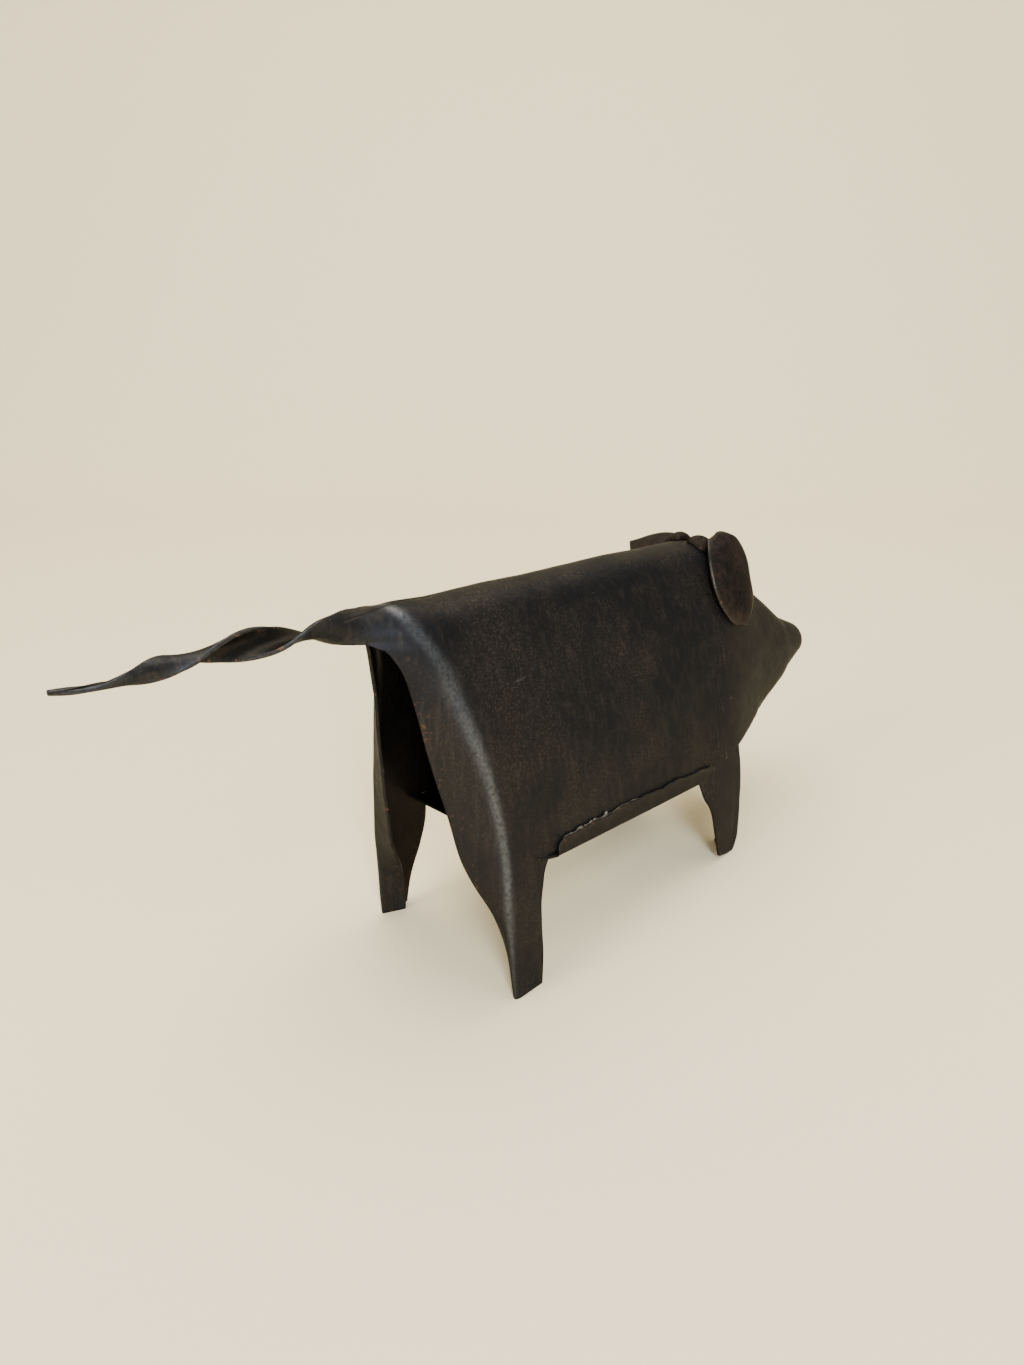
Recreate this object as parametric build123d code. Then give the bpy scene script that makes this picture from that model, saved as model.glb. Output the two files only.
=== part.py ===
"""Pig figurine folded by hand from one sheet of dark iron.

The belly plate laps the flanks, the two leaf ears stand in slots in the shoulders, and a disc closes the snout.
Lengths are in millimetres. X runs to the snout, Y to the pig's left, Z up from the ground under the feet.
The sheet is laid out from the heels of the rear legs at X 0 and is moved to the middle of its length at the end.
"""

import math
import os

from build123d import *

# Sheet metal
SHEET = 0.9
SEAM_GAP = 0.1

# Body: half widths are at the ground, where the flanks stand upright
HEEL_X = -2.5
HALF_WIDTH = 26.8
HEEL_ROUND = 6.0
STERN_X = -13.0
STERN_HALF = 4.5
STERN_LEAN = 4.2
STERN_CROWN = 0.7
SPINE_HEIGHT = 98.4
SPINE_FALL = 0.042
SPINE_RADIUS = 9.8

# Head and snout
BROW_X = 95.0
BROW_ROUND = 30.0
BROW_ANGLE = 34.6
BROW_SOFTNESS = 0.6
CREASE_X = 150.0
CREASE_HALF = 9.2
CREASE_CROWN = 0.7 * CREASE_HALF
CREASE_TOP = 57.8
CREASE_BASE = 40.4
SNOUT_LENGTH = 12.6
SNOUT_LAP = 1.0
SNOUT_HALF = 5.5
SNOUT_CROWN = 0.86 * SNOUT_HALF
CHIN_ROUND = 0.7 * SNOUT_HALF
SNOUT_TOP = 52.2
SNOUT_BASE = 40.4
NOSE_RADIUS = 5.3
NOSE_THICKNESS = 1.0

# Legs, belly and throat
REAR_LEG_FRONT = 6.1
REAR_KNEE = 7.0
LEFT_LEG_EXTRA = 2.4
BELLY_REAR = 33.9
BELLY_FALL = 0.046
FRONT_LEG_FRONT = 99.0
FRONT_LEG_REAR = FRONT_LEG_FRONT - 23.0
FRONT_FOOT_REAR = FRONT_LEG_FRONT - 11.5
FRONT_FOLD = 4.0
SHIN_JOIN = FRONT_LEG_FRONT - 7.0
SHIN_LAP = 5.0
SHIN_STEP = 0.25
FRONT_LEAF = 6.5
TOE_CLIP = 3.3
THROAT_HEIGHT = 34.0

# Opening between the two stern panels, as half widths
GAP_TOP_DROP = 8.4
GAP_TOP_HALF = 2.1
GAP_KNEE = 30.0
GAP_KNEE_RIGHT = 16.2
GAP_KNEE_LEFT = 14.0
GAP_SHIN = 17.0
GAP_SHIN_RIGHT = 24.6
GAP_SHIN_LEFT = 18.4
GAP_FOOT_RIGHT = 25.8
GAP_FOOT_LEFT = 21.6

# Belly plate
LAP_HEIGHT = 4.3
LAP_REAR = 13.2
FLOOR_REAR = 8.6
LAP_FRONT = FRONT_LEG_REAR + 5.5
LAP_ROUND = 2.0
BEAD_FRONT = 46.0
BEAD_HEIGHT = 0.9
BEAD_GAP = 0.35
LEG_ROOM = 2.5
LEG_PLAY = 0.3

# Tail
TAIL_ROOT = -18.0
TAIL_TIP = -91.0
TAIL_ROOT_WIDTH = 9.9
TAIL_TIP_WIDTH = 1.2
TAIL_DROP = 2.8
TAIL_LIFT = 2.6
TAIL_BOW = 1.3
TAIL_ROOT_TURN = 27
TAIL_TURN = 377
TAIL_TIGHTENING = 227
TAIL_SECTIONS = 26

# Ears
EAR_X = 99.5
EAR_ROOT_OUT = 5.4
EAR_TAB = 5.0
TAB_INSET = 1.2
TAB_DEPTH = 2.6
TAB_FORWARD = 0.8
EAR_WIDTH = 17.6
LEFT_EAR_WIDTH = 14.0
TAB_LENGTH = 4.6
EAR_BEND = 3.0
EAR_RISE = 9.0
EAR_LEAN = 3.6
EAR_DROP = 31.3
EAR_HANG = 10.8
EAR_FORWARD = 5.6
EAR_REACH = 18.8
EAR_SWEEP = 2.0
EAR_SINK = 3.6
EAR_SECTIONS = 18
SLOT_PLAY = 0.35
SLOT_DEPTH = 7.0
COLLAR_LENGTH = 10.6
COLLAR_WIDTH = 9.2
COLLAR_HEIGHT = 3.6
COLLAR_LIFT = 0.7
COLLAR_BACK = 2.0
COLLAR_OUT = 4.8

# Reach of cutting blocks
BIG = 400.0
RUN_ON = 2.0


def spine_height(x):
    """Height of the back above a place on the ground: a straight spine that rolls over into a brow."""
    spine = SPINE_HEIGHT - SPINE_FALL * (x - STERN_X)
    brow = CREASE_TOP + math.tan(math.radians(BROW_ANGLE)) * (CREASE_X - x)
    return (spine + brow) / 2 - math.hypot((spine - brow) / 2, BROW_SOFTNESS)


def lean_at(x):
    """Backward lean of a cross section, full at the stern and gone at the brow."""
    share = (BROW_X - x) / (BROW_X - HEEL_X)
    return STERN_LEAN * max(0.0, min(1.0, share))


def arch(half, base, top, radius):
    """Face of a closed arch: a round crown that runs into two bowed flanks standing on a flat base."""
    rise = top - radius - base
    flank = (half**2 + rise**2 - radius**2) / (2 * (half - radius))
    end = math.asin(rise / (flank - radius))
    centre = half - flank
    shoulder = (centre + flank * math.cos(end), base + flank * math.sin(end))
    middle = (centre + flank * math.cos(end / 2), base + flank * math.sin(end / 2))
    left = ThreePointArc((half, base), middle, shoulder)
    crown = ThreePointArc(shoulder, (0, top), (-shoulder[0], shoulder[1]))
    right = ThreePointArc((-shoulder[0], shoulder[1]), (-middle[0], middle[1]), (-half, base))
    ground = Line((-half, base), (half, base))
    return make_face(Curve() + [left, crown, right, ground])


def section(x, half, base, top, radius):
    """The arch set upright across the pig at a place on the ground, with that place's lean."""
    lean = math.radians(lean_at(x))
    across = Plane(origin=(x, 0, 0), x_dir=(0, 1, 0), z_dir=(math.cos(lean), 0, math.sin(lean)))
    return across * arch(half, base, top / math.cos(lean), radius)


def stations(plan, steps):
    """Points along a rounded plan line with their outward directions: several on a round, two on a straight."""
    found = []
    for edge in plan.edges().sort_by(Axis.X):
        count = steps if edge.geom_type == GeomType.CIRCLE else 1
        for step in range(count + 1):
            place = edge @ (step / count)
            along = edge % (step / count)
            along = along if along.X > 0 else along * -1
            found.append((place.X, place.Y, -along.Y, along.X))
    found.sort()
    kept = [found[0]]
    for item in found[1:]:
        if item[0] - kept[-1][0] > 0.05:
            kept.append(item)
    return kept


def head_base(x):
    """Lowest point of a cross section: the ground under the body, rising to the chin under the head."""
    share = (x - BROW_X) / (CREASE_X - BROW_X)
    return CREASE_BASE * max(0.0, min(1.0, share))


def crown_radius(x, half):
    """Radius of the spine, smaller toward the snout and where the stern narrows."""
    share = max(0.0, min(1.0, (x - BROW_X) / (CREASE_X - BROW_X)))
    radius = SPINE_RADIUS + (CREASE_CROWN - SPINE_RADIUS) * share
    return min(radius, STERN_CROWN * half)


def trunk(inset):
    """Body and head as one block, drawn in by the inset on every side but the ground, run on into the snout."""
    plan = FilletPolyline(
        (STERN_X, STERN_HALF),
        (HEEL_X, HALF_WIDTH),
        (BROW_X, HALF_WIDTH),
        (CREASE_X, CREASE_HALF),
        radius=[HEEL_ROUND, BROW_ROUND],
    )
    faces = []
    for x, half, out_x, out_y in stations(plan, 6):
        slope = math.tan(math.radians(BROW_ANGLE)) if x > BROW_X else 0.0
        top = spine_height(x) - inset * math.hypot(1.0, slope)
        base = head_base(x) - max(0.0, inset)
        radius = crown_radius(x, half) - inset
        faces.append(section(x - inset * out_x, half - inset * out_y, base, top, radius))
    if inset > 0:
        faces.append(section(CREASE_X + RUN_ON, half - inset * out_y, base, top, radius))
    return loft(faces, ruled=True)


def snout(inset):
    """The snout as a block with a rounded under side, drawn in by the inset and run on past the nose."""
    end_x = CREASE_X + SNOUT_LENGTH
    if inset > 0:
        end_x += RUN_ON
    rear_top = spine_height(CREASE_X) - inset
    rear_x = CREASE_X - SNOUT_LAP
    rear_radius = CREASE_CROWN - inset
    rear = section(rear_x, CREASE_HALF - inset, CREASE_BASE + inset, rear_top, rear_radius)
    front_radius = SNOUT_CROWN - inset
    front = section(end_x, SNOUT_HALF - inset, SNOUT_BASE + inset, SNOUT_TOP - inset, front_radius)
    block = loft([rear, front], ruled=True)
    chin = block.edges().filter_by(lambda e: e.length > SNOUT_LENGTH - 1).group_by(Axis.Z)[0]
    return fillet(chin, CHIN_ROUND - inset)


def side_cut(*points):
    """A prism through the whole width of the pig, from an outline seen from its side."""
    outline = Plane.XZ * make_face(Polyline(*points, close=True))
    return extrude(outline, BIG / 2, both=True)


def half_block(side):
    """Everything on one side of the pig: 1 for its left and -1 for its right."""
    return Pos(0, side * BIG / 2, 0) * Box(BIG, BIG, BIG)


def end_cut(reach, *points):
    """A prism along the pig between two X places, from an outline seen from its end."""
    across = Plane(origin=(reach[0], 0, 0), x_dir=(0, 1, 0), z_dir=(1, 0, 0))
    outline = across * make_face(Polyline(*points, close=True))
    return extrude(outline, reach[1] - reach[0])


def belly_at(x):
    """Height of the lower edge of the flanks."""
    return BELLY_REAR - BELLY_FALL * (x - LAP_REAR)


def mirrored(solid):
    """The same piece on the other side of the pig."""
    return mirror(solid, about=Plane.XZ)


outer = trunk(0.0)
inner = trunk(SHEET)

# The flanks: legs and belly line are cut out of the folded sheet


def belly_cut(extra):
    """The space between a rear and a front leg under the belly line, with the rear leg wider by the extra."""
    return side_cut(
        (REAR_LEG_FRONT - 0.6 + 0.2 * extra, -2),
        (REAR_LEG_FRONT + 0.8 + extra, BELLY_REAR - REAR_KNEE),
        (REAR_LEG_FRONT + 2.4 + extra, BELLY_REAR - 2.4),
        (REAR_LEG_FRONT + 4.4 + extra, belly_at(REAR_LEG_FRONT)),
        (FRONT_LEG_REAR - 1.5, belly_at(FRONT_LEG_REAR)),
        (FRONT_LEG_REAR, belly_at(FRONT_LEG_REAR) - 3),
        (FRONT_LEG_REAR + 6, 18),
        (FRONT_FOOT_REAR - 3, 11),
        (FRONT_FOOT_REAR, -2),
    )


leg_cuts = (belly_cut(0.0) & half_block(-1)) + (belly_cut(LEFT_LEG_EXTRA) & half_block(1))
throat_cut = side_cut(
    (SHIN_JOIN, -2),
    (SHIN_JOIN, THROAT_HEIGHT),
    (FRONT_LEG_FRONT, THROAT_HEIGHT),
    (CREASE_X + 0.4, CREASE_BASE + 0.6),
    (CREASE_X + 0.4, -2),
)
gap_outline = [
    (GAP_FOOT_LEFT, -2),
    (GAP_SHIN_LEFT, GAP_SHIN),
    (GAP_KNEE_LEFT, GAP_KNEE),
    (GAP_TOP_HALF, SPINE_HEIGHT - GAP_TOP_DROP),
    (-GAP_TOP_HALF, SPINE_HEIGHT - GAP_TOP_DROP),
    (-GAP_KNEE_RIGHT, GAP_KNEE),
    (-GAP_SHIN_RIGHT, GAP_SHIN),
    (-GAP_FOOT_RIGHT, -2),
]
stern_gap = end_cut((-BIG / 4, HEEL_X + HEEL_ROUND), *gap_outline)
sheet = outer - inner - leg_cuts - throat_cut - stern_gap

# The front legs: the flank is folded across at the front, and only a narrow leaf of it is left
leg_plan = FilletPolyline(
    (SHIN_JOIN - SHIN_LAP, HALF_WIDTH),
    (FRONT_LEG_FRONT, HALF_WIDTH),
    (FRONT_LEG_FRONT + 0.8, HALF_WIDTH - 2 * FRONT_LEAF),
    radius=FRONT_FOLD,
)


def front_legs(inset):
    """The lower part of both front legs as a block that ends in a rounded fold."""
    faces = []
    for x, half, out_x, out_y in stations(leg_plan, 6):
        top = spine_height(SHIN_JOIN) - inset
        base = SHIN_STEP - inset
        faces.append(section(x - inset * out_x, half - inset * out_y, base, top, SPINE_RADIUS - inset))
    return loft(faces, ruled=True)


shin_height = THROAT_HEIGHT + 2.0
leg_height = Pos(SHIN_JOIN - SHIN_LAP / 2 + BIG / 2, 0, shin_height / 2) * Box(BIG, BIG, shin_height)
leg_gap = end_cut(
    (SHIN_JOIN - SHIN_LAP, FRONT_LEG_FRONT + 2 * FRONT_FOLD),
    (HALF_WIDTH - FRONT_LEAF, -2),
    (HALF_WIDTH - FRONT_LEAF - 2, shin_height + 2),
    (-HALF_WIDTH + FRONT_LEAF + 2, shin_height + 2),
    (-HALF_WIDTH + FRONT_LEAF, -2),
)
toe_clip = side_cut(
    (FRONT_LEG_FRONT - TOE_CLIP, -1),
    (FRONT_LEG_FRONT - TOE_CLIP, 0),
    (FRONT_LEG_FRONT + 1.5, TOE_CLIP + 1.5),
    (FRONT_LEG_FRONT + 1.5, -1),
)
shins = (front_legs(SHIN_STEP) - front_legs(SHIN_STEP + SHEET)) & leg_height
shins = shins - leg_gap - toe_clip

# The snout is rolled shut from the same sheet
tube = snout(0.0) - snout(SHEET)


def tail_place(share):
    """Width and turn of the tail strip at a share of its length."""
    width = TAIL_ROOT_WIDTH + (TAIL_TIP_WIDTH - TAIL_ROOT_WIDTH) * share
    turn = TAIL_ROOT_TURN + TAIL_TURN * share + TAIL_TIGHTENING * share**2
    return width, math.radians(turn)


tail_faces = []
for step in range(TAIL_SECTIONS + 1):
    along = step / TAIL_SECTIONS
    wide, turned = tail_place(along)
    height = SPINE_HEIGHT - TAIL_DROP + TAIL_LIFT * along + TAIL_BOW * math.sin(math.pi * along)
    spot = (TAIL_ROOT + (TAIL_TIP - TAIL_ROOT) * along, 0, height)
    strip_plane = Plane(origin=spot, x_dir=(0, math.cos(turned), math.sin(turned)), z_dir=(-1, 0, 0))
    tail_faces.append(strip_plane * Rectangle(wide, SHEET))
tail = loft(tail_faces)


def leaf_width(widest, share):
    """Width of an ear leaf from its neck to its blunt tip."""
    return widest * math.sin(math.pi * (0.12 + 0.78 * share)) ** 0.6


def ear(root, turn, tip, widest):
    """A leaf of sheet: a tab rises from the slot, bends over at the turn and runs on as a leaf to the tip."""
    line = FilletPolyline(root, turn, tip, radius=EAR_BEND)
    neck = TAB_LENGTH / line.length
    faces = []
    for step in range(EAR_SECTIONS + 1):
        share = step / EAR_SECTIONS
        width = EAR_TAB
        if share > neck:
            width = max(EAR_TAB, leaf_width(widest, (share - neck) / (1 - neck)))
        place = Plane(origin=line @ share, x_dir=(1, 0, 0), z_dir=line % share)
        faces.append(place * Rectangle(width, SHEET))
    return loft(faces, ruled=True)


shoulder_z = spine_height(EAR_X) - SPINE_RADIUS + math.sqrt(SPINE_RADIUS**2 - EAR_ROOT_OUT**2)
root_y = EAR_ROOT_OUT - TAB_INSET
root_z = shoulder_z - TAB_DEPTH
turn_y = EAR_ROOT_OUT + EAR_LEAN
turn_z = shoulder_z + EAR_RISE
right_tip = (EAR_X + EAR_FORWARD, -EAR_ROOT_OUT - EAR_HANG, turn_z - EAR_DROP)
right_turn = (EAR_X + TAB_FORWARD, -turn_y, turn_z)
ear_right = ear((EAR_X, -root_y, root_z), right_turn, right_tip, EAR_WIDTH)
left_turn = (EAR_X + TAB_FORWARD, EAR_ROOT_OUT + 0.5 * EAR_LEAN, shoulder_z + 0.4 * EAR_RISE)
left_tip = (EAR_X - EAR_SWEEP, EAR_ROOT_OUT + EAR_REACH, shoulder_z - EAR_SINK)
ear_left = ear((EAR_X, root_y, root_z), left_turn, left_tip, LEFT_EAR_WIDTH)

# A slot in each shoulder takes the ear's tab
slot_tilt = math.degrees(math.atan2(turn_y - root_y, turn_z - root_z))
slot_box = Box(EAR_TAB + 2 * SLOT_PLAY, SHEET + 4 * SLOT_PLAY, SLOT_DEPTH)
slot_right = Pos(EAR_X, -EAR_ROOT_OUT, shoulder_z) * Rot(slot_tilt, 0, 0) * slot_box
slots = slot_right + mirrored(slot_right)

body_sheet = sheet + shins + tube + tail - slots

# A collar of solder lies on the shoulder behind each ear and round its tab
collar_size = (COLLAR_LENGTH / 2, COLLAR_WIDTH / 2, COLLAR_HEIGHT)
collar_place = Pos(EAR_X - COLLAR_BACK, -COLLAR_OUT, shoulder_z + COLLAR_LIFT)
collar_right = collar_place * scale(Sphere(1), by=collar_size)
ear_solder_right = collar_right - outer - ear_right
ear_solder_left = mirrored(collar_right) - outer - ear_left

# The belly plate is a shallow tray that takes the lower edges of both flanks and runs on between the legs


def belly_layer(rear, front, low, high):
    """A layer along the belly line between two X places and two heights above that line."""
    return side_cut(
        (rear, belly_at(rear) + low),
        (rear, belly_at(rear) + high),
        (front, belly_at(front) + high),
        (front, belly_at(front) + low),
    )


floor_top = -SEAM_GAP
floor_base = -SEAM_GAP - SHEET
lap_inside = trunk(-SEAM_GAP)
lap_outside = trunk(-SEAM_GAP - SHEET)
lap_outline = side_cut(
    (LAP_REAR, belly_at(LAP_REAR) + floor_base),
    (LAP_REAR, belly_at(LAP_REAR) + LAP_HEIGHT - LAP_ROUND),
    (LAP_REAR + LAP_ROUND, belly_at(LAP_REAR) + LAP_HEIGHT),
    (LAP_FRONT - LAP_ROUND, belly_at(LAP_FRONT) + LAP_HEIGHT),
    (LAP_FRONT, belly_at(LAP_FRONT) + LAP_HEIGHT - LAP_ROUND),
    (LAP_FRONT, belly_at(LAP_FRONT) + floor_base),
)
laps = (lap_outside - lap_inside) & lap_outline
wide_floor = lap_outside & belly_layer(LAP_REAR, FRONT_LEG_REAR - LEG_ROOM, floor_base, floor_top)
narrow_floor = trunk(SHEET + LEG_PLAY) & belly_layer(FLOOR_REAR, LAP_FRONT, floor_base, floor_top)
belly_plate = laps + wide_floor + narrow_floor

bead_base = LAP_HEIGHT + BEAD_GAP
bead_slab = belly_layer(LAP_REAR + LAP_ROUND, BEAD_FRONT, bead_base, bead_base + BEAD_HEIGHT)
beads = (lap_outside - lap_inside) & bead_slab
belly_solder_right = beads & half_block(-1)
belly_solder_left = beads & half_block(1)

nose_x = CREASE_X + SNOUT_LENGTH
nose_z = (SNOUT_TOP + SNOUT_BASE) / 2
nose_disc = Pos(nose_x + NOSE_THICKNESS / 2, 0, nose_z) * Rot(0, 90, 0) * Cylinder(NOSE_RADIUS, NOSE_THICKNESS)

middle_x = (TAIL_TIP + nose_x + NOSE_THICKNESS) / 2
nodes = {
    "body_sheet": body_sheet,
    "belly_plate": belly_plate,
    "belly_solder_right": belly_solder_right,
    "belly_solder_left": belly_solder_left,
    "ear_right": ear_right,
    "ear_left": ear_left,
    "ear_solder_right": ear_solder_right,
    "ear_solder_left": ear_solder_left,
    "nose_disc": nose_disc,
}
os.makedirs("parts", exist_ok=True)
for name, shape in nodes.items():
    export_step(Pos(-middle_x, 0, 0) * shape, f"parts/{name}.step")
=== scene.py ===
# %% [markdown]
# # A pig folded from sheet iron
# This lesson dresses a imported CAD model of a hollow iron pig. The CAD solids are the frame: they give the
# size, the place of every piece and the physics. Each visible piece is drawn again here as a thin sheet
# with the small unevenness of hand work, and it stands for one CAD node. The pieces are drawn in
# millimetres until their mesh is made; floor, lights and camera are in metres.

# %% Load the frame
import math

import bpy
import numpy as np
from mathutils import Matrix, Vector


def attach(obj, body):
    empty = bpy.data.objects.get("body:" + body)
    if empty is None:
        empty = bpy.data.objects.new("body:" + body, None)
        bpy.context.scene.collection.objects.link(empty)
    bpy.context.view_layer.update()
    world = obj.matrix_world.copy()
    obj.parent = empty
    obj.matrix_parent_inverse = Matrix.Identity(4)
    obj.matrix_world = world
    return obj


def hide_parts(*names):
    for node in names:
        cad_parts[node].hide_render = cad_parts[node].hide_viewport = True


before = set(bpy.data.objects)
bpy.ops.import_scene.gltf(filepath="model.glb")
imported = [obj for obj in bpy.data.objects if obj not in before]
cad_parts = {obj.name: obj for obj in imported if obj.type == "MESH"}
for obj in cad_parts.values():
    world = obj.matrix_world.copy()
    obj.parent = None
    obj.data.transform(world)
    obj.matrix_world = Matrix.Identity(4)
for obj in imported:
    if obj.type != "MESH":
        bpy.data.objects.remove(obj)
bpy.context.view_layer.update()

# %% [markdown]
# ## Helpers for sheets
# Every piece starts as one or more grids of points. A grid becomes quads between its rows and columns,
# and points that lie on the same spot are welded, so neighbouring grids grow together into one sheet. The
# thickness is added by a Solidify modifier, which is how real sheet works too: one surface, offset by its
# gauge.

# %% Weld grids into a mesh
MM = 0.001
# While the pieces are drawn, X is counted from the rear heels; the origin of the frame lies this far in front
MIDDLE_X = 36.3
SHEET = 0.9
# Points that agree to half a thousandth of a millimetre become one
KEYS_PER_MM = 2000


def grid_faces(rows, columns, first):
    """Quads between the neighbouring rows and columns of a grid whose points are numbered row by row."""
    index = first + np.arange(rows * columns).reshape(rows, columns)
    return np.stack([index[:-1, :-1], index[:-1, 1:], index[1:, 1:], index[1:, :-1]], axis=-1).reshape(-1, 4)


def weld(grids):
    """Points, marks and faces of several grids (points, marks, turned), with equal points made one."""
    points, marks, faces, count = [], [], [], 0
    for grid, mark, turned in grids:
        quads = grid_faces(*grid.shape[:2], count)
        faces.append(quads[:, ::-1] if turned else quads)
        points.append(grid.reshape(-1, 3))
        marks.append(np.broadcast_to(mark, (*grid.shape[:2], 2)).reshape(-1, 2))
        count += grid.shape[0] * grid.shape[1]
    points = np.concatenate(points)
    keys = np.round(points * KEYS_PER_MM).astype(np.int64)
    _, first, place = np.unique(keys, axis=0, return_index=True, return_inverse=True)
    return points[first], np.concatenate(marks)[first], place.reshape(-1)[np.concatenate(faces)]


def faces_of(quads):
    """Faces as lists: whole quads, and triangles where two neighbouring corners of a quad are one point."""
    same = quads == np.roll(quads, -1, axis=1)
    whole = quads[~same.any(axis=1)].tolist()
    single = same.sum(axis=1) == 1
    shift = np.argmax(same[single], axis=1)
    order = (shift[:, None] + np.arange(1, 4)) % 4
    return whole + np.take_along_axis(quads[single], order, axis=1).tolist()


def sheet_piece(name, grids, thickness=SHEET, waviness=None):
    """A mesh object from grids in millimetres from the heels, given its thickness by a modifier.

    The waviness moves each point along its normal, and no point then stays below the ground.
    """
    points, marks, quads = weld(grids)
    mesh = bpy.data.meshes.new(name)
    mesh.from_pydata(points * MM, [], faces_of(quads))
    if waviness is not None:
        normals = np.empty(len(points) * 3)
        mesh.vertex_normals.foreach_get("vector", normals)
        points = points + waviness(points)[:, None] * normals.reshape(-1, 3)
        points[:, 2] = np.maximum(points[:, 2], 0)
    mesh.vertices.foreach_set("co", ((points - [MIDDLE_X, 0, 0]) * MM).ravel())
    # The first mark is wear together with the painted highlight of folds, the second is nearness to a cut
    # edge
    for column, mark in enumerate(("worn", "edge")):
        mesh.attributes.new(mark, "FLOAT", "POINT").data.foreach_set("value", marks[:, column])
    mesh.polygons.foreach_set("use_smooth", np.ones(len(mesh.polygons), dtype=bool))
    mesh.update()
    piece = bpy.data.objects.new(name, mesh)
    bpy.context.scene.collection.objects.link(piece)
    if thickness:
        solid = piece.modifiers.new("Gauge", "SOLIDIFY")
        solid.thickness = thickness * MM
        solid.offset = -1
        solid.use_quality_normals = True
    print(name, "has", len(points), "points and", len(mesh.polygons), "faces")
    return piece


# %% [markdown]
# ## Helpers for curves
# Sheet bent by hand has no sudden changes, so a few measured values are joined by smooth cubic pieces. A
# fold is drawn as two straight runs with a parabola between them, which is close to the bend of a sheet
# over a rounded edge and needs only one corner point.

# %% Smooth curves through a few measured values
def smooth(share):
    """Eases from 0 to 1: three times the square less two times the cube."""
    share = np.clip(share, 0, 1)
    return share * share * (3 - 2 * share)


def cubic(t, start, leave, end, arrive):
    """A cubic from start to end that sets out with the slope leave and comes in with the slope arrive."""
    bend = (2 * t**3 - 3 * t**2 + 1) * start + (t**3 - 2 * t**2 + t) * leave
    return bend + (3 * t**2 - 2 * t**3) * end + (t**3 - t**2) * arrive


def curve_through(knots, values, at):
    """A smooth curve through values at rising knots: cubic pieces whose slopes agree where they meet."""
    knots, values, at = np.asarray(knots, float), np.asarray(values, float), np.asarray(at, float)
    slopes = np.gradient(values, knots, axis=0)
    cell = np.clip(np.searchsorted(knots, at, side="right") - 1, 0, len(knots) - 2)
    width = knots[cell + 1] - knots[cell]
    t = np.clip((at - knots[cell]) / width, 0, 1)
    if values.ndim > 1:
        t, width = t[..., None], width[..., None]
    return cubic(t, values[cell], slopes[cell] * width, values[cell + 1], slopes[cell + 1] * width)


def relax(grid, first, last, passes):
    """Rounds a crease across the columns first to last.

    Each pass moves a point half way to the mean of its two neighbours in the row.
    """
    for _ in range(passes):
        before, after = grid[:, first - 1 : last - 1], grid[:, first + 1 : last + 1]
        grid[:, first:last] = (before + 2 * grid[:, first:last] + after) / 4
    return grid


BEND_START = 0.25
BEND_END = 0.66


def folded(side_end, corner, free_end, reach, share):
    """A path with one fold: straight from side_end, round the corner as a parabola, straight on to free_end.

    The parabola starts and ends at a distance of reach from the corner. It takes the shares from BEND_START
    to BEND_END, and the two straights take the rest.
    """
    to_side, to_free = side_end - corner, free_end - corner
    reach = np.broadcast_to(np.asarray(reach, float), to_side.shape[:-1])[..., None]
    before = corner + to_side * np.minimum(1, reach / np.linalg.norm(to_side, axis=-1, keepdims=True))
    after = corner + to_free * np.minimum(1, reach / np.linalg.norm(to_free, axis=-1, keepdims=True))
    side_end, corner, free_end, before, after = (
        point[..., None, :] for point in (side_end, corner, free_end, before, after)
    )
    share = share[:, None]
    first, last = share / BEND_START, (share - BEND_END) / (1 - BEND_END)
    turn = (share - BEND_START) / (BEND_END - BEND_START)
    round_part = (1 - turn) ** 2 * before + 2 * turn * (1 - turn) * corner + turn**2 * after
    path = np.where(share < BEND_START, side_end + (before - side_end) * first, round_part)
    return np.where(share > BEND_END, after + (free_end - after) * last, path)


print("A quarter of the way is eased to", float(smooth(0.25)))

# %% [markdown]
# ## The shape of the folded body
# The real body is one sheet bent over a round spine, so any cut across it is an arch: a circular crown
# that runs into two bowed flanks. The arch is nearly the same along the barrel, leans back a little at
# the stern, and shrinks along two straight lines to the snout. Writing it as a formula of the place along
# the pig keeps it smooth everywhere.

# %% Arch formulas
HALF_WIDTH = 26.8
CROWN_RADIUS = 9.8
HEEL_X = -2.5
STERN_X = -13.0
SPINE_HEIGHT = 98.4
SPINE_FALL = 0.042
STERN_LEAN = math.radians(4.2)
BROW_X = 95.0
BROW_SLOPE = math.tan(math.radians(34.6))
CREASE_X = 150.0
CREASE_HALF = 9.2
CREASE_TOP = 57.8
CHIN = 40.4
SNOUT_END = 162.6
SNOUT_HALF = 5.5
SNOUT_TOP = 52.2
CREASE_ROUND = 0.7
SNOUT_ROUND = 0.86
BROW_SOFTNESS = 0.6
CHEEK_SOFTNESS = 1.8


def soft_least(one, other, softness):
    """The smaller of two values with a rounded corner: their mean less the softened half difference."""
    return (one + other) / 2 - np.hypot((one - other) / 2, softness)


def ramp(x, start, end):
    """0 before the start, 1 after the end, straight between them."""
    return np.clip((x - start) / (end - start), 0, 1)


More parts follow.
